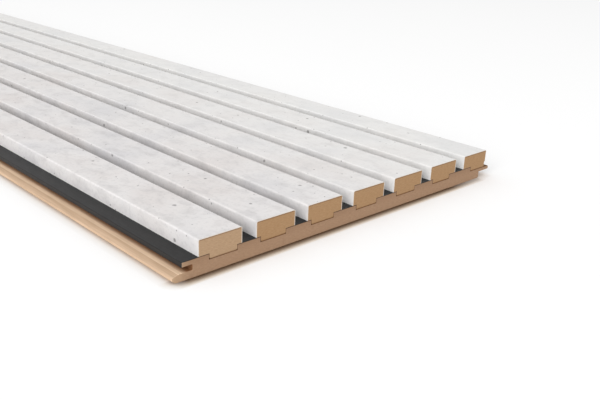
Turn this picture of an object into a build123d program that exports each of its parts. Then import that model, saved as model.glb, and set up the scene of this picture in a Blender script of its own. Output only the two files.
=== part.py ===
"""Slat wall panel: seven foil-wrapped slats keyed into a grooved backing board.

The panel lies on its back with the slats up. X runs across it, from the groove edge to the
tongue edge, Y along it and Z up from the back face. The origin is on the floor, in the middle
of the panel's overall width and length.

Every piece is a constant section, drawn across the panel and extruded along it. A section's
own x is the panel's X, and its y is the height above the back face.
"""

from build123d import *
import os

# Overall
length = 2700.0

# Slats: a core with rounded top edges, wrapped in foil over its top and both sides
slat_count = 7
slat_width = 30.0
slat_gap = 10.4
slat_height = 10.0
last_slat_width = 28.6
slat_edge_radius = 1.1
foil_thickness = 0.4

# Keys: the tongue under each slat, glued into a slot of the board
key_width = 19.2
key_depth = 3.3
key_chamfer = 0.6
key_short_shoulder = 3.5
last_key_shoulder = 10.0
slot_side_clearance = 0.2
slot_floor_clearance = 0.2

# Backing board, covered on its face and on the end of its upper lip by a black film
board_thickness = 11.0
board_edge_chamfer = 0.5
film_thickness = 0.3

# Groove edge: a short upper lip, a groove, and a lower lip that reaches past the upper one
upper_lip_thickness = 3.0
groove_height = 3.3
groove_depth = 7.0
groove_root_radius = 0.6
lower_lip_reach = 6.0
lower_lip_drop = 1.3
lower_lip_nose = 1.7
lower_lip_undercut = 2.0
shelf_reach = 1.4

# Tongue edge, which the next panel's groove edge slides onto
lip_tuck = 0.6
relief_height = 0.8
tongue_clearance = 0.25
tongue_tip_clearance = 1.0
tongue_chamfer = 0.6
lip_clearance = 0.4

# Heights above the back face
face_z = board_thickness
board_top_z = face_z - film_thickness
slat_top_z = face_z + slat_height
key_floor_z = face_z - key_depth
slot_floor_z = key_floor_z - slot_floor_clearance
groove_top_z = face_z - upper_lip_thickness
shelf_z = groove_top_z - groove_height
nose_top_z = shelf_z - lower_lip_drop
nose_bottom_z = nose_top_z - lower_lip_nose
tongue_floor_z = shelf_z + tongue_clearance

# Places across the panel, measured from the first slat's left side
pitch = slat_width + slat_gap
last_slat = slat_count - 1
last_slat_end = last_slat * pitch + last_slat_width
panel_cover = last_slat_end + slat_gap
lip_end = -slat_gap - lip_tuck
groove_root = lip_end + groove_depth
shelf_end = lip_end - shelf_reach
lower_lip_end = lip_end - lower_lip_reach
relief_end = panel_cover + lip_end - lip_clearance
board_end = panel_cover + lower_lip_end - lip_clearance
tongue_end = panel_cover + groove_root - tongue_tip_clearance
overall_width = tongue_end - lower_lip_end
first_slat_x = -overall_width / 2 - lower_lip_end


def across(distance):
    """X of a place given from the first slat's left side."""
    return first_slat_x + distance


def slat_sides(slat):
    """X of a slat's left and right sides, foil included. The last slat is narrower."""
    left = across(slat * pitch)
    width = last_slat_width if slat == last_slat else slat_width
    return left, left + width


def key_sides(slat):
    """X of the left and right sides of a slat's key.

    The first slat is turned round, so its key lies towards its right side.
    The last slat's key runs on to the relief that takes the next panel's upper lip.
    """
    left, right = slat_sides(slat)
    if slat == 0:
        return right - key_short_shoulder - key_width, right - key_short_shoulder
    if slat == last_slat:
        return left + last_key_shoulder, across(relief_end)
    return left + key_short_shoulder, left + key_short_shoulder + key_width


def slot_sides(slat):
    """X of the left and right sides of the board's slot for a slat's key.

    The last slot is a rabbet whose floor runs out as the top of the tongue.
    """
    left, right = key_sides(slat)
    if slat == last_slat:
        return left - slot_side_clearance, across(tongue_end)
    return left - slot_side_clearance, right + slot_side_clearance


def box_section(left, right, bottom, top):
    """A rectangle across the panel."""
    with BuildSketch() as box:
        with Locations(((left + right) / 2, (bottom + top) / 2)):
            Rectangle(right - left, top - bottom)
    return box.sketch


def slat_section(slat, inset):
    """A slat above the board's face, its two top edges rounded, inset from its outside."""
    left, right = slat_sides(slat)
    with BuildSketch() as blank:
        add(box_section(left + inset, right - inset, face_z, slat_top_z - inset))
        top_corners = blank.vertices().group_by(Axis.Y)[-1]
        fillet(top_corners, radius=slat_edge_radius - inset)
        if slat == last_slat:
            relief = box_section(across(relief_end), right, face_z, face_z + relief_height)
            add(relief, mode=Mode.SUBTRACT)
    return blank.sketch


def key_section(slat):
    """A slat's key, with its two lower edges chamfered."""
    left, right = key_sides(slat)
    with BuildSketch() as key:
        add(box_section(left, right, key_floor_z, face_z))
        lower_corners = key.vertices().group_by(Axis.Y)[0]
        chamfer(lower_corners, length=key_chamfer)
    return key.sketch


def slat_core(slat):
    """The wood-fibre core of a slat, from its rounded top to its key."""
    with BuildPart() as core:
        with BuildSketch(Plane.XZ):
            add(slat_section(slat, foil_thickness))
            add(key_section(slat))
        extrude(amount=length / 2, both=True)
    core.part.label = f"slat_core_{slat + 1}"
    return core.part


def slat_foil(slat):
    """The printed foil over a slat's top and sides, down to the board's face."""
    with BuildPart() as foil:
        with BuildSketch(Plane.XZ):
            add(slat_section(slat, 0))
            add(slat_section(slat, foil_thickness), mode=Mode.SUBTRACT)
        extrude(amount=length / 2, both=True)
    foil.part.label = f"slat_foil_{slat + 1}"
    return foil.part


def board_section():
    """The backing board's outline, from the lower lip on the left to the tongue on the right."""
    root = across(groove_root)
    tongue = across(tongue_end)
    nose = across(lower_lip_end)
    lip = across(lip_end) + film_thickness
    with BuildSketch() as outline:
        with BuildLine():
            Polyline(
                (nose + lower_lip_undercut, 0),
                (nose, nose_bottom_z),
                (nose, nose_top_z),
                (across(shelf_end), shelf_z),
                (root, shelf_z),
                (root, groove_top_z),
                (lip, groove_top_z),
                (lip, board_top_z),
                (tongue, board_top_z),
                (tongue, tongue_floor_z),
                (across(board_end), tongue_floor_z),
                (across(board_end), 0),
                close=True,
            )
        make_face()
        root_corners = outline.vertices().filter_by_position(Axis.X, root, root)
        fillet(root_corners, radius=groove_root_radius)
        lower_edge = outline.vertices().filter_by_position(Axis.X, across(board_end), across(board_end))
        chamfer(lower_edge.sort_by(Axis.Y)[0], length=board_edge_chamfer)
    return outline.sketch


def backing_board():
    """The board that carries the slats, with one slot for each key."""
    with BuildPart() as board:
        with BuildSketch(Plane.XZ) as section:
            add(board_section())
            for slat in range(slat_count):
                left, right = slot_sides(slat)
                add(box_section(left, right, slot_floor_z, board_top_z), mode=Mode.SUBTRACT)
            tongue_tip = section.vertices().group_by(Axis.X)[-1]
            chamfer(tongue_tip, length=tongue_chamfer)
        extrude(amount=length / 2, both=True)
    board.part.label = "backing_board"
    return board.part


def film_strip(strip):
    """The black film left between two slots. The first strip also wraps the upper lip's end."""
    lip = across(lip_end)
    left = lip if strip == 0 else slot_sides(strip - 1)[1]
    right = slot_sides(strip)[0]
    with BuildPart() as film:
        with BuildSketch(Plane.XZ):
            add(box_section(left, right, board_top_z, face_z))
            if strip == 0:
                add(box_section(lip, lip + film_thickness, groove_top_z, face_z))
        extrude(amount=length / 2, both=True)
    film.part.label = f"film_strip_{strip + 1}"
    return film.part


pieces = [backing_board()]
for number in range(slat_count):
    pieces += [film_strip(number), slat_core(number), slat_foil(number)]

os.makedirs("parts", exist_ok=True)
for piece in pieces:
    export_step(piece, f"parts/{piece.label}.step")

print(f"overall {overall_width:.1f} x {length:.1f} x {slat_top_z:.1f} mm, {len(pieces)} pieces")
print(f"origin to the first slat's left side {first_slat_x:.2f} mm, board end {across(board_end):.2f} mm")
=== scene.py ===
# %% [markdown]
# A slat wall panel
#
# The panel is a milled fibreboard that carries seven slats. Each slat is wrapped in a pale foil
# with a concrete look, and the board's face is covered in a black film that shows between them.
# The construction comes in as a fixed frame of solids at their real size. This script dresses
# that frame: it rebuilds the rounded pieces finely and gives every surface its finish.

import math

import bmesh
import bpy
from mathutils import Matrix, Vector


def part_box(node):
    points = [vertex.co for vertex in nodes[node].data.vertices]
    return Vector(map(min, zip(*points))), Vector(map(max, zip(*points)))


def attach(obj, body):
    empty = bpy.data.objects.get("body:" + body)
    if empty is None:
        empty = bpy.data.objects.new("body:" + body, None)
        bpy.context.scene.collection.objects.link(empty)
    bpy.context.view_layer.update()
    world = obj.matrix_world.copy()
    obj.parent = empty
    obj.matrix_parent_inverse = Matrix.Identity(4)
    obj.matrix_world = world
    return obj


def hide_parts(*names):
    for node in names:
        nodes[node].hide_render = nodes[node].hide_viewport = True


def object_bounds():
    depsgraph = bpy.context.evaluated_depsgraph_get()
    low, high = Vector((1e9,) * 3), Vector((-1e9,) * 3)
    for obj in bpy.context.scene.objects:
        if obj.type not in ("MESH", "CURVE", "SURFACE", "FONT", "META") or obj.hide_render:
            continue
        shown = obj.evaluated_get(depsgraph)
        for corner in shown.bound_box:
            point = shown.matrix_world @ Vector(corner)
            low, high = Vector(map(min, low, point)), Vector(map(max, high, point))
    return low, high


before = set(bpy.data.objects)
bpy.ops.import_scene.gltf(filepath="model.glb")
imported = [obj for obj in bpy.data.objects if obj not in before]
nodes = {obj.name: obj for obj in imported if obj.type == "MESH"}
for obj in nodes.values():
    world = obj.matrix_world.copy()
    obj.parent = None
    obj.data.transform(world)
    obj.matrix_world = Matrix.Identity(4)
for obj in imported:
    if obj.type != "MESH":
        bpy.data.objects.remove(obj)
cad_low, cad_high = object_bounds()
print("nodes", sorted(nodes))
print("size in metres", [round(side, 4) for side in cad_high - cad_low])

# %% [markdown]
# Measures
#
# The sizes could be typed in again here, but then they would drift from the solids. So every place
# below is read from the solids, and the pieces fit without any nudging. A slat's foil gives its
# sides, its top and the radius of its long edges, because a solid's rounded edge starts and ends
# exactly where the flat faces do. Its core gives the key that is seated in the board.

# %% Measure the slats
MM = 0.001
SAME_PLACE = 0.01 * MM
slat_names = sorted(name for name in nodes if name.startswith("slat_core_"))
slat_count = len(slat_names)
face_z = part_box("film_strip_1")[1].z
cut_end_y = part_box("slat_foil_1")[0].y
far_end_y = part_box("slat_foil_1")[1].y


def corners(node):
    """The node's corners at the cut end, as (x, z) pairs."""
    points = [vertex.co for vertex in nodes[node].data.vertices]
    return [(p.x, p.z) for p in points if abs(p.y - cut_end_y) < SAME_PLACE]


def measure_slat(number):
    """The sizes of one slat's section, read from its foil and its core."""
    foil_low, foil_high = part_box(f"slat_foil_{number}")
    core_low, core_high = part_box(f"slat_core_{number}")
    foil = corners(f"slat_foil_{number}")
    core = corners(f"slat_core_{number}")
    middle = (foil_low.x + foil_high.x) / 2
    key = [x for x, z in core if z < face_z - SAME_PLACE]
    key_floor = [x for x, z in core if z < core_low.z + SAME_PLACE]
    return {
        "left": foil_low.x,
        "right": foil_high.x,
        "top": foil_high.z,
        "foot_left": min(z for x, z in foil if x < middle),
        "foot_right": min(z for x, z in foil if x > middle),
        "radius": foil_high.x - max(x for x, z in foil if z > foil_high.z - SAME_PLACE),
        "foil": foil_high.z - core_high.z,
        "key_left": min(key),
        "key_right": max(key),
        "key_floor": core_low.z,
        "key_chamfer": min(key_floor) - min(key),
    }


slats = [measure_slat(number) for number in range(1, slat_count + 1)]
first_slat, last_slat = slats[0], slats[-1]
pitch = slats[1]["left"] - first_slat["left"]
print("slat pitch in mm", round(pitch / MM, 2))
print("first slat in mm", {name: round(value / MM, 2) for name, value in first_slat.items()})

# %% [markdown]
# The camera
#
# The photograph looks along the panel from beyond its cut end, with the left edge nearest. A
# camera can be aimed at a point, but three angles match the photograph's frame more closely. So
# the camera is placed from the corner where the first slat meets the face at that end, its yaw
# turns it from the panel's length towards the slats, and it looks down and is rolled a little.

# %% Place the camera
CAMERA_FROM_CORNER = Vector((-212.2, -292.0, 172.0)) * MM
CAMERA_YAW = math.radians(44.40)
CAMERA_PITCH = math.radians(20.99)
CAMERA_ROLL = math.radians(2.49)
CAMERA_LENS = 44.54

near_corner = Vector((first_slat["left"], cut_end_y, face_z))
camera_data = bpy.data.cameras.new("camera")
camera_data.lens = CAMERA_LENS
camera_data.clip_start = 0.01
camera_data.clip_end = 100.0
camera = bpy.data.objects.new("camera", camera_data)
bpy.context.scene.collection.objects.link(camera)
turn = Matrix.Rotation(-CAMERA_YAW, 4, "Z")
tilt = Matrix.Rotation(math.pi / 2 - CAMERA_PITCH, 4, "X")
roll = Matrix.Rotation(CAMERA_ROLL, 4, "Z")
camera.matrix_world = Matrix.Translation(near_corner + CAMERA_FROM_CORNER) @ turn @ tilt @ roll
bpy.context.scene.camera = camera
print("camera at", [round(value, 3) for value in camera.location])

# %% [markdown]
# Colours
#
# Colours are written as they look on a screen, from 0 to 255, because that is how they are read
# from a photograph. Blender's sockets want linear light, so a small function turns one into the
# other.


# %% Turn screen colours into linear ones
def linear(level):
    """One screen level, from 0 to 255, as linear light from 0 to 1."""
    share = level / 255
    if share <= 0.04045:
        return share / 12.92
    return ((share + 0.055) / 1.055) ** 2.4


def paint(red, green, blue):
    """A screen colour as the four linear numbers that a colour socket takes."""
    return (linear(red), linear(green), linear(blue), 1.0)


WHITE = (1.0, 1.0, 1.0, 1.0)
BLACK = (0.0, 0.0, 0.0, 1.0)
print("a middle grey of 128 is", round(linear(128), 3), "in linear light")

# %% [markdown]
# Building node trees
#
# Each finish is a small tree of nodes round one Principled shader. It could be written node by
# node, but then the same five lines come again for each of them. These helpers keep a finish
# readable: one adds a node and fills or links its inputs, and the others name what the node is
# for, such as a noise, a set of colour steps or a blend of two colours.


# %% Start a finish
def add_node(tree, kind, inputs=None, **settings):
    """Adds a shader node. A socket given as an input is linked, and anything else is its value."""
    node = tree.nodes.new("ShaderNode" + kind)
    for name, value in settings.items():
        setattr(node, name, value)
    for name, value in (inputs or {}).items():
        if isinstance(value, bpy.types.NodeSocket):
            tree.links.new(value, node.inputs[name])
        else:
            node.inputs[name].default_value = value
    return node


def start_finish(name, roughness, specular):
    """A new material with a Principled shader. Returns the material, its tree and the shader."""
    material = bpy.data.materials.new(name)
    material.use_nodes = True
    tree = material.node_tree
    tree.nodes.clear()
    gloss = {"Roughness": roughness, "Specular IOR Level": specular}
    shader = add_node(tree, "BsdfPrincipled", gloss)
    output = add_node(tree, "OutputMaterial")
    tree.links.new(shader.outputs["BSDF"], output.inputs["Surface"])
    return material, tree, shader


def raise_surface(tree, shader, height, distance):
    """Bump: the surface looks raised by up to the distance, in metres, where height is 1."""
    bump = add_node(tree, "Bump", {"Height": height, "Distance": distance})
    tree.links.new(bump.outputs["Normal"], shader.inputs["Normal"])


# %% Read places
def own_place(tree):
    """The place on the piece, in metres. Every piece has its origin at the frame's."""
    return add_node(tree, "TexCoord").outputs["Object"]


def along_axis(tree, place, axis):
    """One of a place's three numbers: X across the panel, Y along it or Z above its back."""
    return add_node(tree, "SeparateXYZ", {"Vector": place}).outputs[axis]


def stretched(tree, place, scale):
    """Coordinates scaled by (x, y, z), so that a texture is stretched along the smallest."""
    mapping = add_node(tree, "Mapping", {"Vector": place, "Scale": scale})
    return mapping.outputs["Vector"]


def noise(tree, place, scale=1.0, detail=3.0, roughness=0.5):
    """A cloudy factor. With coordinates in metres, its patches are about 1 / scale metres wide."""
    inputs = {"Vector": place, "Scale": scale, "Detail": detail, "Roughness": roughness}
    return add_node(tree, "TexNoise", inputs).outputs["Fac"]


def between(tree, value, start, end, at_start=0.0, at_end=1.0):
    """A factor that runs evenly from the start to the end, and stays the same past both."""
    inputs = {"Value": value, "From Min": start, "From Max": end, "To Min": at_start, "To Max": at_end}
    return add_node(tree, "MapRange", inputs).outputs["Result"]


# %% Mix factors and colours
def sum_up(tree, operation, first, second):
    """One step of arithmetic on two factors."""
    return add_node(tree, "Math", {0: first, 1: second}, operation=operation).outputs["Value"]


def steps(tree, factor, stops):
    """Colours along a factor, as (position, colour) stops."""
    ramp = add_node(tree, "ValToRGB", {"Fac": factor})
    elements = ramp.color_ramp.elements
    while len(elements) < len(stops):
        elements.new(1.0)
    for element, (position, colour) in zip(elements, stops):
        element.position = position
        element.color = colour
    return ramp.outputs["Color"]


def blend(tree, factor, first, second, mode="MIX"):
    """Two colours blended by a factor."""
    mix = add_node(tree, "Mix", data_type="RGBA", blend_type=mode)
    sockets = (mix.inputs[0], mix.inputs[6], mix.inputs[7])
    for socket, value in zip(sockets, (factor, first, second)):
        if isinstance(value, bpy.types.NodeSocket):
            tree.links.new(value, socket)
        else:
            socket.default_value = value
    return mix.outputs[2]


def tint(tree, base, pattern, share, colour):
    """The base blended towards a colour, by up to the share where the pattern is 1."""
    return blend(tree, sum_up(tree, "MULTIPLY", pattern, share), base, colour)


# %% [markdown]
# The floor
#
# The panel lies on a pale floor that runs out into a white background. A curved backdrop could be
# put behind it, but one flat sheet does the same when it is so much larger than the panel that its
# edges never show. How white it looks is left to its finish.

# %% Lay the floor
FLOOR_SIDE = 60.0

floor_mesh = bmesh.new()
bmesh.ops.create_grid(floor_mesh, x_segments=1, y_segments=1, size=FLOOR_SIDE / 2)
floor_data = bpy.data.meshes.new("floor")
floor_mesh.to_mesh(floor_data)
floor_mesh.free()
floor = bpy.data.objects.new("floor", floor_data)
bpy.context.scene.collection.objects.link(floor)
print("floor side in metres", round(floor.dimensions.x, 1))

# %% [markdown]
# The contact shadow
#
# In the photograph a narrow brown shadow lies along the cut end. The light alone gives a softer
# one, and a harder lamp would change the slats too. So an ambient occlusion node in the floor's
# own finish deepens the last few millimetres next to the panel. It looks for the panel upwards and
# to the back right, where the panel is for a point in front of the cut end. One set of tones is
# for the cut end, and a milder one for the long side, and the first fades into the second towards
# both corners of the end.

# %% Set the floor's tones
FLOOR_SEEN = paint(252, 252, 252)
FLOOR_LIT = paint(238, 236, 234)
FLOOR_GLOW = 0.04
SHADOW_REACH = 7.5 * MM
SHADOW_TOWARDS = (0.35, 0.85, 0.40)
SHADOW_SAMPLES = 24
FRONT_SHADOW = [
    (0.38, paint(66, 43, 23)),
    (0.60, paint(166, 148, 130)),
    (0.78, paint(224, 214, 200)),
    (1.00, FLOOR_SEEN),
]
SIDE_SHADOW = [
    (0.35, paint(206, 198, 190)),
    (0.70, paint(234, 232, 230)),
    (1.00, FLOOR_SEEN),
]

floor_finish = bpy.data.materials.new("floor")
floor_finish.use_nodes = True
tree = floor_finish.node_tree
tree.nodes.clear()
direction = add_node(tree, "CombineXYZ", dict(zip("XYZ", SHADOW_TOWARDS))).outputs["Vector"]
direction = add_node(tree, "VectorMath", {0: direction}, operation="NORMALIZE").outputs["Vector"]
occlusion = {"Distance": SHADOW_REACH, "Normal": direction}
open_share = add_node(tree, "AmbientOcclusion", occlusion, samples=SHADOW_SAMPLES).outputs["AO"]
front_shadow = steps(tree, open_share, FRONT_SHADOW)
side_shadow = steps(tree, open_share, SIDE_SHADOW)
print("shadow reaches", round(SHADOW_REACH / MM, 1), "mm")

# %% Share the tones out round the panel
SIDE_START = 5 * MM
FADE_BEFORE = 14 * MM
FADE_PAST = 22 * MM
FADE_SHARE = 0.80
NOSE_FADE = 9 * MM
NOSE_SHARE = 0.70

place = own_place(tree)
across, along = along_axis(tree, place, "X"), along_axis(tree, place, "Y")
fade_start, fade_end = last_slat["left"] - FADE_BEFORE, last_slat["left"] + FADE_PAST
beside = between(tree, along, cut_end_y, cut_end_y + SIDE_START)
far_corner = between(tree, across, fade_start, fade_end, at_end=FADE_SHARE)
nose_corner = between(tree, across, cad_low.x, cad_low.x + NOSE_FADE, NOSE_SHARE, 0.0)
milder = sum_up(tree, "MAXIMUM", beside, far_corner)
milder = sum_up(tree, "MAXIMUM", milder, nose_corner)
floor_seen = blend(tree, milder, front_shadow, side_shadow)
print("shadow fades over", round((fade_end - fade_start) / MM, 1), "mm at the far corner")

# %% [markdown]
# What the camera sees of the floor
#
# More light would make the background white, but it would bleach the foil too. So the floor's
# finish asks Light Path what kind of ray meets it. A ray of the camera, or one that a shiny
# surface sends on, sees near-white tones and a very faint glow. Every other ray only carries light
# back to the panel, and it gets a light grey.

# %% Finish the floor
rays = add_node(tree, "LightPath").outputs
seen = sum_up(tree, "MAXIMUM", rays["Is Camera Ray"], rays["Is Glossy Ray"])
seen = sum_up(tree, "MAXIMUM", seen, rays["Is Transmission Ray"])
floor_colour = blend(tree, seen, FLOOR_LIT, floor_seen)
floor_glow = sum_up(tree, "MULTIPLY", seen, FLOOR_GLOW)
matt = add_node(tree, "BsdfDiffuse", {"Color": floor_colour}).outputs["BSDF"]
glow = add_node(tree, "Emission", {"Color": floor_seen, "Strength": floor_glow}).outputs["Emission"]
both = add_node(tree, "AddShader", {0: matt, 1: glow}).outputs["Shader"]
add_node(tree, "OutputMaterial", {"Surface": both})
floor_data.materials.append(floor_finish)
print("floor finish", floor_finish.name)

# %% [markdown]
# The light
#
# The photograph's light is bright and even, as in a studio, so a white sky all round does most of
# the work. A small near lamp would make the cut end bright and the far slats dull. So one broad,
# soft lamp stands more than four metres away, up to the left, and it brightens the slats' left
# sides all along the panel.

# %% Light the studio
SKY_STRENGTH = 0.84
LAMP_POWER = 90.0
LAMP_SIDE = 2.8
LAMP_FROM_CORNER = Vector((-3.60, -1.40, 1.90))

world = bpy.data.worlds.new("studio")
world.use_nodes = True
bpy.context.scene.world = world
sky = world.node_tree.nodes["Background"]
sky.inputs["Color"].default_value = WHITE
sky.inputs["Strength"].default_value = SKY_STRENGTH

lamp_data = bpy.data.lights.new("soft_lamp", "AREA")
lamp_data.energy = LAMP_POWER
lamp_data.size = LAMP_SIDE
lamp = bpy.data.objects.new("soft_lamp", lamp_data)
lamp.location = near_corner + LAMP_FROM_CORNER
lamp.rotation_mode = "QUATERNION"
lamp.rotation_quaternion = (-LAMP_FROM_CORNER).to_track_quat("-Z", "Y")
bpy.context.scene.collection.objects.link(lamp)
bpy.context.scene.view_settings.view_transform = "Standard"
print("lamp stands", round(LAMP_FROM_CORNER.length, 2), "metres from the corner")

# %% [markdown]
# The decor foil
#
# The foil is a printed, matt plastic film with a concrete look: a pale warm grey with faint
# clouds, soft smudges and fine speckle. A picture could be wrapped round it, but a few noises
# don't repeat along the whole panel. The print follows the foil round the slat, so the pattern
# reads the foil's own map, which is unrolled in metres: across the foil first, and along it
# second. From the third slat on, a painted sheen makes the foil a little paler and more neutral,
# for the brighter sheen that the far slats show at a grazing angle.

# %% Print the foil's clouds and speckle, and paint the far slats' sheen
FOIL_ROUGHNESS, FOIL_SPECULAR = 0.65, 0.2
FOIL_PALE = paint(229, 226, 225)
FOIL_WARM = paint(224, 219, 217)
FOIL_COOL = paint(218, 216, 217)
FOIL_SMUDGE = paint(186, 183, 183)
FOIL_SPECKLE = paint(176, 174, 174)
# A painted sheen: the paler, more neutral tone that the far slats' tops are blended towards.
FOIL_PAINTED_SHEEN = paint(244, 245, 242)
CLOUD_SCALE, SMUDGE_SCALE, SPECKLE_SCALE = 14.0, 110.0, 430.0
SMUDGE_STRETCH = (1.0, 0.55, 1.0)
SMUDGE_SHARE, SPECKLE_SHARE, PAINTED_SHEEN_SHARE = 0.60, 0.30, 0.42

foil_finish, tree, shader = start_finish("decor_foil", FOIL_ROUGHNESS, FOIL_SPECULAR)
foil_map = add_node(tree, "UVMap", uv_map="unrolled").outputs["UV"]
clouds = noise(tree, foil_map, CLOUD_SCALE, detail=4.0, roughness=0.6)
print_colour = steps(tree, clouds, [(0.34, FOIL_COOL), (0.50, FOIL_PALE), (0.66, FOIL_WARM)])
smudge_place = stretched(tree, foil_map, SMUDGE_STRETCH)
smudges = noise(tree, smudge_place, SMUDGE_SCALE, detail=5.0, roughness=0.62)
smudges = steps(tree, smudges, [(0.48, BLACK), (0.80, WHITE)])
print_colour = tint(tree, print_colour, smudges, SMUDGE_SHARE, FOIL_SMUDGE)
speckle = steps(tree, noise(tree, foil_map, SPECKLE_SCALE), [(0.52, BLACK), (0.76, WHITE)])
print_colour = tint(tree, print_colour, speckle, SPECKLE_SHARE, FOIL_SPECKLE)
# Painted sheen: from the third slat on, the print is blended towards a paler, more neutral tone.
across = along_axis(tree, own_place(tree), "X")
paler = between(tree, across, slats[1]["right"], last_slat["left"], at_end=PAINTED_SHEEN_SHARE)
print_colour = blend(tree, paler, print_colour, FOIL_PAINTED_SHEEN)
print("foil gets paler from x", round(slats[1]["right"] / MM, 1), "mm")

# %% [markdown]
# The foil's pores
#
# The print also shows a few small air bubbles, as concrete has them. A noise cut off at a high
# level would give spots too, but of any shape and all over. So the foil is divided into cells, and
# only a share of them gets a spot, each of its own size. A noise pushes the spots out of round.
# The fading starts above 1 in a spot's middle and is cut off at 1, which leaves a soft rim.

# %% Add the pores
FOIL_PORE = paint(128, 125, 124)
PORE_SHARE = 0.75
PORE_MIDDLE = 1.8
WOBBLE = 0.6
RELIEF_SCALE = 400.0
RELIEF_DEPTH = 0.02 * MM


def pores(tree, place, spacing, size, share):
    """Small irregular spots: one in each share of the cells that are spacing metres wide."""
    wobble = add_node(tree, "TexNoise", {"Vector": place, "Scale": WOBBLE / size, "Detail": 3.0})
    push = {0: wobble.outputs["Color"], 1: (size, size, 0.0), 2: place}
    pushed = add_node(tree, "VectorMath", push, operation="MULTIPLY_ADD").outputs["Vector"]
    grid = {"Vector": pushed, "Scale": 1 / spacing}
    cells = add_node(tree, "TexVoronoi", grid, voronoi_dimensions="2D").outputs
    chance = add_node(tree, "SeparateColor", {"Color": cells["Color"]}).outputs
    kept = sum_up(tree, "LESS_THAN", chance["Red"], share)
    reach = sum_up(tree, "MULTIPLY", chance["Green"], size / spacing)
    fading = between(tree, cells["Distance"], 0.0, reach, PORE_MIDDLE, 0.0)
    return sum_up(tree, "MULTIPLY", kept, sum_up(tree, "MINIMUM", fading, 1.0))


large_pores = pores(tree, foil_map, spacing=26 * MM, size=1.9 * MM, share=0.40)
small_pores = pores(tree, foil_map, spacing=9 * MM, size=0.9 * MM, share=0.30)
spots = sum_up(tree, "MAXIMUM", large_pores, small_pores)
print_colour = tint(tree, print_colour, spots, PORE_SHARE, FOIL_PORE)
tree.links.new(print_colour, shader.inputs["Base Color"])
relief = sum_up(tree, "SUBTRACT", noise(tree, foil_map, RELIEF_SCALE, detail=4.0), spots)
raise_surface(tree, shader, relief, RELIEF_DEPTH)
print("foil finish", foil_finish.name)

# %% [markdown]
# The foil's cut edge
#
# At the sawn ends the foil shows its thickness as a thin line, paler than the boards. It could
# take the foil's finish, but the print lies only on the outside of the real foil. So the line is
# a plain finish of its own, with a fine grain.

# %% Mix the foil's cut edge
EDGE_DARK, EDGE_PALE = paint(214, 204, 192), paint(230, 221, 210)
EDGE_SCALE = 1500.0

foil_edge_finish, tree, shader = start_finish("foil_cut_edge", roughness=0.6, specular=0.5)
edge_grain = noise(tree, own_place(tree), EDGE_SCALE)
edge_colour = steps(tree, edge_grain, [(0.3, EDGE_DARK), (0.7, EDGE_PALE)])
tree.links.new(edge_colour, shader.inputs["Base Color"])
print("foil edge finish", foil_edge_finish.name)

# %% [markdown]
# The fibreboards
#
# The boards are wood fibres pressed with resin. The slats are of a lighter, yellower board, the
# first one a little paler than the rest, and the backing is a denser, rosier one. The fibres lie
# flat, so a sawn end shows short level dashes, which are a noise stretched along the end. A slat
# is browner just under its foil, where the glue soaked in, and along the bottom of its key, where
# the brown is partly glue and partly painted shade that widens the joint's line. The backing is
# darker at its faces, partly for its denser pressed skin and partly as painted shade: a contact
# shade along its bottom edge and shade round the keys near its top. It is paler towards its thin
# lower lip. Such a band fades over a set distance along one axis.

# %% Mix the sawn fibreboards
BOARD_ROUGHNESS, BOARD_SPECULAR = 0.85, 0.2
FIBRE_STRETCH = (420.0, 60.0, 1900.0)
DOT_STRETCH = (900.0, 250.0, 1800.0)
CLOUDY_SCALE, FUZZ_SCALE = 120.0, 2500.0
CLOUDY_SHARE, DOT_SHARE = 0.30, 0.22
FIBRE_DEPTH = 0.05 * MM


def fibreboard(name, pale, dark, speck, bands):
    """A pressed fibre finish. A band is (axis, start, end, share, colour) and fades to its end."""
    material, tree, shader = start_finish(name, BOARD_ROUGHNESS, BOARD_SPECULAR)
    place = own_place(tree)
    fibre = noise(tree, stretched(tree, place, FIBRE_STRETCH), detail=4.0, roughness=0.65)
    colour = steps(tree, fibre, [(0.32, dark), (0.66, pale)])
    colour = tint(tree, colour, noise(tree, place, CLOUDY_SCALE), CLOUDY_SHARE, dark)
    dots = noise(tree, stretched(tree, place, DOT_STRETCH), detail=1.0)
    dots = steps(tree, dots, [(0.66, BLACK), (0.74, WHITE)])
    colour = tint(tree, colour, dots, DOT_SHARE, speck)
    for axis, start, end, share, band_colour in bands:
        band = between(tree, along_axis(tree, place, axis), start, end, share, 0.0)
        colour = blend(tree, band, colour, band_colour)
    tree.links.new(colour, shader.inputs["Base Color"])
    relief = sum_up(tree, "ADD", fibre, noise(tree, place, FUZZ_SCALE, detail=2.0))
    raise_surface(tree, shader, relief, FIBRE_DEPTH)
    return material


print("fibres are about", round(1 / FIBRE_STRETCH[2] / MM, 2), "mm thick")

# %% Mix the slats' boards
GLUE_AND_PAINTED_SHADE_BROWN = paint(112, 74, 42)
GLUE_AND_PAINTED_SHADE_DEPTH = 0.9 * MM
core_top = first_slat["top"] - first_slat["foil"]
key_bottom = first_slat["key_floor"]
core_bands = [
    ("Z", core_top, core_top - GLUE_AND_PAINTED_SHADE_DEPTH, 0.80, GLUE_AND_PAINTED_SHADE_BROWN),
    # Along the key's bottom the brown is partly glue and partly painted shade that widens the joint's
    # line.
    ("Z", key_bottom, key_bottom + GLUE_AND_PAINTED_SHADE_DEPTH, 0.70, GLUE_AND_PAINTED_SHADE_BROWN),
]

first_slat_finish = fibreboard(
    "first_slat_fibreboard",
    pale=paint(192, 162, 131),
    dark=paint(174, 143, 112),
    speck=paint(144, 114, 86),
    bands=core_bands,
)
slat_board_finish = fibreboard(
    "slat_fibreboard",
    pale=paint(183, 149, 113),
    dark=paint(165, 129, 92),
    speck=paint(140, 106, 76),
    bands=core_bands,
)
print("slat boards", first_slat_finish.name, slat_board_finish.name)

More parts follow.
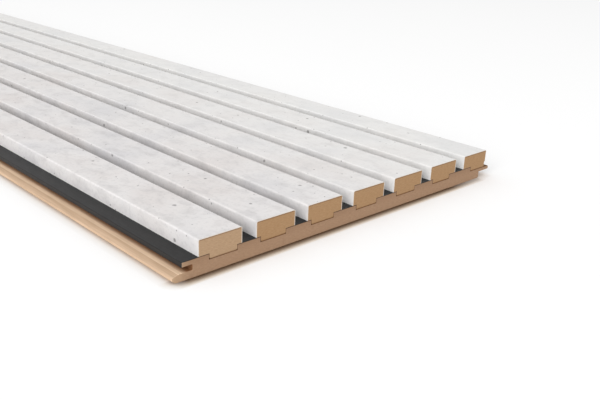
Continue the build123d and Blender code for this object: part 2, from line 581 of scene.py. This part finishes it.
# %% Mix the backing's board
# Bands of the backing, each partly its pressed skin and partly painted shade.
LOW_SKIN_AND_PAINTED_SHADE, LOW_SKIN_AND_PAINTED_SHADE_DEPTH = paint(96, 70, 50), 0.7 * MM
TOP_SKIN_AND_PAINTED_SHADE, TOP_SKIN_AND_PAINTED_SHADE_DEPTH = paint(128, 96, 72), 6 * MM
PALE_LIP, PALE_LIP_REACH = paint(206, 176, 144), 11 * MM

backing_finish = fibreboard(
    "backing_fibreboard",
    pale=paint(178, 147, 120),
    dark=paint(159, 127, 101),
    speck=paint(122, 94, 74),
    bands=[
        # Darker at the bottom edge: partly the pressed back face, partly a painted contact shade.
        ("Z", 0.0, LOW_SKIN_AND_PAINTED_SHADE_DEPTH, 0.35, LOW_SKIN_AND_PAINTED_SHADE),
        # Darker near the top face: partly the denser pressed skin, partly painted shade round the keys.
        ("Z", face_z, face_z - TOP_SKIN_AND_PAINTED_SHADE_DEPTH, 0.32, TOP_SKIN_AND_PAINTED_SHADE),
        ("X", cad_low.x, cad_low.x + PALE_LIP_REACH, 0.60, PALE_LIP),
    ],
)
print("backing board", backing_finish.name)

# %% [markdown]
# The milled edges
#
# Where a cutter has run along the board, on the lips, the groove and the tongue, the fibres are
# shaved and the surface is much paler than a sawn end. The cutter leaves long fine lines, which
# are a noise drawn out along the panel. On the lower lip the tones change across: a painted
# highlight makes the shelf and its edge pale, and painted shade darkens the wood into the groove.
# The tongue darkens towards its tip. So a milled finish takes a row of tones across.

# %% Mix the milled fibreboard
MILLED_ROUGHNESS, MILLED_SPECULAR = 0.8, 0.2
CUTTER_STRETCH = (1500.0, 25.0, 1500.0)
MOTTLE_STRETCH = (420.0, 45.0, 420.0)
CUTTER_SHARE, MOTTLE_SHARE = 0.8, 0.5
CUTTER_DEPTH = 0.04 * MM
STREAK = (0.80, 0.78, 0.75, 1.0)


def milled_fibreboard(name, start_x, end_x, tones):
    """A cut along the board. A tone is (share of the way from start_x to end_x, colour)."""
    material, tree, shader = start_finish(name, MILLED_ROUGHNESS, MILLED_SPECULAR)
    place = own_place(tree)
    across = between(tree, along_axis(tree, place, "X"), start_x, end_x)
    colour = steps(tree, across, tones)
    cutter = noise(tree, stretched(tree, place, CUTTER_STRETCH), detail=4.0, roughness=0.6)
    lines = steps(tree, cutter, [(0.30, STREAK), (0.62, WHITE)])
    colour = blend(tree, CUTTER_SHARE, colour, lines, mode="MULTIPLY")
    mottle = noise(tree, stretched(tree, place, MOTTLE_STRETCH))
    mottle = steps(tree, mottle, [(0.35, STREAK), (0.60, WHITE)])
    colour = blend(tree, MOTTLE_SHARE, colour, mottle, mode="MULTIPLY")
    tree.links.new(colour, shader.inputs["Base Color"])
    raise_surface(tree, shader, cutter, CUTTER_DEPTH)
    return material


print("cutter lines are about", round(1 / CUTTER_STRETCH[0] / MM, 2), "mm wide")

# %% Choose the tones of each milled edge
MILLED_PALE = paint(220, 190, 161)
MILLED_DEEP = paint(211, 180, 150)
# A painted highlight on the lower lip's shelf and its edge, which lie under the upper lip.
MILLED_PAINTED_HIGHLIGHT = paint(240, 211, 181)
MILLED_SHADED = paint(188, 156, 128)
# The darkest milled tone: painted shade at the groove's root, and the darker tip of the tongue.
MILLED_DARK_AND_PAINTED_SHADE = paint(140, 100, 68)
PLAIN_TONES = [(0.0, MILLED_PALE), (1.0, MILLED_PALE)]
# Across the lower lip from its nose inwards: plain milled tones, a painted highlight on the shelf, then
# painted shade into the groove.
LIP_TONES = [
    (0.00, MILLED_PALE),
    (0.12, MILLED_PALE),
    (0.36, MILLED_DEEP),
    (0.40, MILLED_PAINTED_HIGHLIGHT),
    (0.60, MILLED_PAINTED_HIGHLIGHT),
    (0.80, MILLED_SHADED),
    (1.00, MILLED_DARK_AND_PAINTED_SHADE),
]
TONGUE_TONES = [(0.0, MILLED_PALE), (0.5, MILLED_DEEP), (1.0, MILLED_DARK_AND_PAINTED_SHADE)]
LIP_REACH_OUT, LIP_REACH_IN = 6 * MM, 4 * MM
TONGUE_REACH = 6 * MM

lip_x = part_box("film_strip_1")[0].x
tongue_x = cad_high.x
milled_finish = milled_fibreboard("milled_fibreboard", 0.0, 1.0, PLAIN_TONES)
groove_finish = milled_fibreboard(
    "milled_groove_edge", lip_x - LIP_REACH_OUT, lip_x + LIP_REACH_IN, LIP_TONES
)
tongue_finish = milled_fibreboard("milled_tongue", tongue_x - TONGUE_REACH, tongue_x, TONGUE_TONES)
print("milled finishes", milled_finish.name, groove_finish.name, tongue_finish.name)

# %% [markdown]
# The glued joints
#
# Each key sits in its slot with a little room round it. The glue could be built as a piece of
# its own, but it is thinner than anything the photograph shows. So only the walls of that gap are
# brown, as glue stains them, and the gap shows at the sawn end as a thin brown line.

# %% Mix the joints' finish
JOINT_STRETCH = (500.0, 40.0, 500.0)
JOINT_DEPTH = 0.03 * MM
JOINT_DARK, JOINT_PALE = paint(96, 68, 48), paint(128, 94, 66)

joint_finish, tree, shader = start_finish("glued_joint", roughness=0.9, specular=0.1)
glue = noise(tree, stretched(tree, own_place(tree), JOINT_STRETCH))
joint_colour = steps(tree, glue, [(0.3, JOINT_DARK), (0.7, JOINT_PALE)])
tree.links.new(joint_colour, shader.inputs["Base Color"])
raise_surface(tree, shader, glue, JOINT_DEPTH)
print("joint finish", joint_finish.name)

# %% [markdown]
# The black film
#
# The face between the slats is covered with a matt black film. A smooth, pure black would be
# simpler, but under this light the real one looks dark grey. So the film has a fine grain, drawn
# out along the panel, that breaks up its sheen.

# %% Mix the film's finish
FILM_DARK, FILM_PALE = paint(20, 20, 21), paint(31, 31, 31)
FILM_STRETCH = (700.0, 90.0, 700.0)
FILM_SCALE = 1600.0
FILM_DEPTH = 0.03 * MM

film_finish, tree, shader = start_finish("black_film", roughness=0.5, specular=0.32)
place = own_place(tree)
grain = noise(tree, stretched(tree, place, FILM_STRETCH), detail=4.0)
film_colour = steps(tree, grain, [(0.35, FILM_DARK), (0.7, FILM_PALE)])
tree.links.new(film_colour, shader.inputs["Base Color"])
raise_surface(tree, shader, noise(tree, place, FILM_SCALE), FILM_DEPTH)
print("film finish", film_finish.name)

# %% [markdown]
# Finishing a mesh
#
# Every new piece ends the same way. Its faces are smoothed, edges sharper than a set angle stay
# crisp, and the normals are weighted by face size, so that a broad flat face stays flat right up
# to its rounded edge. More segments would hide the edges too, but they cost far more triangles.

# %% Turn a bmesh into a piece
SHARP_ANGLE = math.radians(35)


def finish_piece(shape, name, finishes, replaced):
    """Makes an object of a bmesh, in place of the named solid, and hands it to the frame."""
    bmesh.ops.recalc_face_normals(shape, faces=shape.faces)
    data = bpy.data.meshes.new(name)
    shape.to_mesh(data)
    shape.free()
    for finish in finishes:
        data.materials.append(finish)
    data.shade_smooth()
    data.set_sharp_from_angle(angle=SHARP_ANGLE)
    piece = bpy.data.objects.new(name, data)
    bpy.context.scene.collection.objects.link(piece)
    weighted = piece.modifiers.new("flat_faces", "WEIGHTED_NORMAL")
    weighted.keep_sharp = True
    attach(piece, "root")
    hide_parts(replaced)
    return piece


def is_cut_end(face):
    """Whether a face is at one of the panel's two sawn ends."""
    places = [vertex.co.y for vertex in face.verts]
    return max(places) - min(places) < SAME_PLACE


# %% [markdown]
# The slats' cores
#
# A core is one length of fibreboard, milled to a stepped section: the visible slat above, and a
# wide shallow key below that is glued into the backing. Boxes could be joined to that shape, but
# they would leave seams. So it is drawn as a flat section at the cut end, its two top corners are
# rounded, and the section is run along the panel's length.

# %% Draw sections and run them along
ROUND_SEGMENTS = 8


def draw_section(shape, points):
    """A flat face across the panel at the cut end, from (x, z) points in order."""
    ring = [shape.verts.new((x, cut_end_y, z)) for x, z in points]
    return shape.faces.new(ring)


def is_at(vertex, x, z):
    """Whether a vertex lies on the line along the panel at (x, z)."""
    return abs(vertex.co.x - x) < SAME_PLACE and abs(vertex.co.z - z) < SAME_PLACE


def round_corners(shape, points, radius):
    """Rounds corners of a flat section, each given as an (x, z) point."""
    chosen = [v for v in shape.verts if any(is_at(v, x, z) for x, z in points)]
    bmesh.ops.bevel(
        shape,
        geom=chosen,
        offset=radius,
        segments=ROUND_SEGMENTS,
        profile=0.5,
        affect="VERTICES",
        material=-1,
    )


def run_along(shape):
    """Extrudes the section from the cut end to the far end."""
    pushed = bmesh.ops.extrude_face_region(shape, geom=shape.faces[:])
    moved = [item for item in pushed["geom"] if isinstance(item, bmesh.types.BMVert)]
    bmesh.ops.translate(shape, vec=(0.0, far_end_y - cut_end_y, 0.0), verts=moved)


# %% Build the cores
def core_section(slat):
    """The outline of a slat's core, anticlockwise from the bottom left of its key."""
    left, right = slat["left"] + slat["foil"], slat["right"] - slat["foil"]
    top, floor_z, chamfer = slat["top"] - slat["foil"], slat["key_floor"], slat["key_chamfer"]
    return [
        (slat["key_left"] + chamfer, floor_z),
        (slat["key_right"] - chamfer, floor_z),
        (slat["key_right"], floor_z + chamfer),
        (slat["key_right"], slat["foot_right"]),
        (right, slat["foot_right"]),
        (right, top),
        (left, top),
        (left, slat["foot_left"]),
        (slat["key_left"], slat["foot_left"]),
        (slat["key_left"], floor_z + chamfer),
    ]


for number, slat in enumerate(slats, start=1):
    outline = core_section(slat)
    top_corners = outline[5:7]
    shape = bmesh.new()
    draw_section(shape, outline)
    round_corners(shape, top_corners, slat["radius"] - slat["foil"])
    run_along(shape)
    for face in shape.faces:
        low_down = face.calc_center_median().z < slat["foot_left"] + SAME_PLACE
        face.material_index = 1 if low_down and not is_cut_end(face) else 0
    board_type = first_slat_finish if number == 1 else slat_board_finish
    finishes = [board_type, joint_finish]
    finish_piece(shape, f"slat_body_{number}", finishes, f"slat_core_{number}")
print("slat cores", slat_count)

# %% [markdown]
# The slats' foils
#
# The foil is one sheet bent over the slat. A box the size of the slat loses its bottom and both
# ends, its long top edges are rounded, and the sheet is given its thickness inwards. Before that,
# each corner of the sheet gets its place on the unrolled foil. Every slat is wrapped from another
# stretch of the roll, so the print isn't the same on any two.

# %% Unroll the foil
ROLL_STEP = 2.83


def unroll(shape, slat, number):
    """Writes each corner's place on the flat foil, in metres, into the map called unrolled."""
    unrolled = shape.loops.layers.uv.new("unrolled")
    middle = (slat["left"] + slat["right"]) / 2
    for face in shape.faces:
        for loop in face.loops:
            x, y, z = loop.vert.co
            across = (x - slat["left"]) + (z - slat["foot_left"])
            if x > middle:
                across += 2 * (slat["top"] - z)
            loop[unrolled].uv = (across, y + number * ROLL_STEP)


# %% Build the foils
def foil_sheet(slat, number):
    """The outside of a slat's foil: two sides and a top, with rounded edges between them."""
    shape = bmesh.new()
    bmesh.ops.create_cube(shape, size=1.0)
    size = Vector((slat["right"] - slat["left"], far_end_y - cut_end_y, slat["top"] - slat["foot_left"]))
    middle = Vector(((slat["left"] + slat["right"]) / 2, 0.0, (slat["top"] + slat["foot_left"]) / 2))
    bmesh.ops.scale(shape, vec=size, verts=shape.verts)
    bmesh.ops.translate(shape, vec=middle, verts=shape.verts)
    open_faces = [face for face in shape.faces if abs(face.normal.y) > 0.5 or face.normal.z < -0.5]
    bmesh.ops.delete(shape, geom=open_faces, context="FACES")
    top_edges = [edge for edge in shape.edges if all(v.co.z > middle.z for v in edge.verts)]
    bmesh.ops.bevel(
        shape,
        geom=[edge for edge in top_edges if not edge.is_boundary],
        offset=slat["radius"],
        segments=ROUND_SEGMENTS,
        profile=0.5,
        affect="EDGES",
        material=-1,
    )
    right_foot = [v for v in shape.verts if v.co.x > middle.x and v.co.z < middle.z]
    lift = slat["foot_right"] - slat["foot_left"]
    bmesh.ops.translate(shape, vec=(0.0, 0.0, lift), verts=right_foot)
    unroll(shape, slat, number)
    return shape


foil_finishes = [foil_finish, foil_edge_finish]
for number, slat in enumerate(slats, start=1):
    shape = foil_sheet(slat, number)
    bmesh.ops.solidify(shape, geom=shape.faces[:], thickness=slat["foil"])
    for face in shape.faces:
        face.material_index = 1 if is_cut_end(face) else 0
    piece = finish_piece(shape, f"foil_{number}", foil_finishes, f"slat_foil_{number}")
print("last foil spans", [round(side / MM, 2) for side in piece.dimensions])

# %% [markdown]
# The backing board
#
# The board is already the right shape, so a copy of its solid is enough: the loose triangles are
# merged, flat areas become single faces, and every sharp edge is eased by a fraction of a
# millimetre, as milling and handling leave it. Then each face takes a finish by where it is.

# %% Ease edges
FLAT_ANGLE = math.radians(1)
EASED_ANGLE = math.radians(30)
EASED_SEGMENTS = 2


def merged_copy(node):
    """The node's mesh with its triangles joined and its flat areas dissolved."""
    shape = bmesh.new()
    shape.from_mesh(nodes[node].data)
    bmesh.ops.remove_doubles(shape, verts=shape.verts, dist=SAME_PLACE / 10)
    bmesh.ops.dissolve_limit(shape, angle_limit=FLAT_ANGLE, verts=shape.verts, edges=shape.edges)
    return shape


def ease_edges(shape, width, chosen=None):
    """Rounds the chosen edges, or all sharp ones, by a small width."""
    sharp = [e for e in shape.edges if e.is_manifold and e.calc_face_angle() > EASED_ANGLE]
    bmesh.ops.bevel(
        shape,
        geom=chosen or sharp,
        offset=width,
        segments=EASED_SEGMENTS,
        profile=0.5,
        affect="EDGES",
        material=-1,
    )


# %% Finish the board
SAWN, MILLED, IN_GROOVE, ON_TONGUE, GLUED = range(5)
SLOT_DEPTH = 3.6 * MM
BACK_HEIGHT = 0.1 * MM
BOARD_EASE = 0.12 * MM
board_finishes = [backing_finish, milled_finish, groove_finish, tongue_finish, joint_finish]


def board_finish(face):
    """Which of the board's finishes a face takes, by where it is."""
    if is_cut_end(face):
        return SAWN
    middle = face.calc_center_median()
    if middle.x > last_slat["right"]:
        return ON_TONGUE
    if middle.x > first_slat["key_left"] - MM:
        return GLUED if face_z - middle.z < SLOT_DEPTH else MILLED
    return IN_GROOVE if middle.x < first_slat["left"] and middle.z > BACK_HEIGHT else MILLED


board = merged_copy("backing_board")
ease_edges(board, BOARD_EASE)
print("board faces", len(board.faces))
for face in board.faces:
    face.material_index = board_finish(face)
finish_piece(board, "milled_board", board_finishes, "backing_board")

# %% [markdown]
# The film strips
#
# The first strip folds over the end of the upper lip, and a folded film has a rounder edge than a
# milled one. So it is rebuilt with that one edge rounded. The other strips are flat, and their
# solids only take the finish.

# %% Lay the film
FOLD_RADIUS = 0.28 * MM

first_film = merged_copy("film_strip_1")
fold = [edge for edge in first_film.edges if all(is_at(v, lip_x, face_z) for v in edge.verts)]
ease_edges(first_film, FOLD_RADIUS, fold)
finish_piece(first_film, "film_over_lip", [film_finish], "film_strip_1")
for number in range(2, slat_count + 1):
    film = nodes[f"film_strip_{number}"]
    film.data.materials.clear()
    film.data.materials.append(film_finish)
print("film fold edges", len(fold))
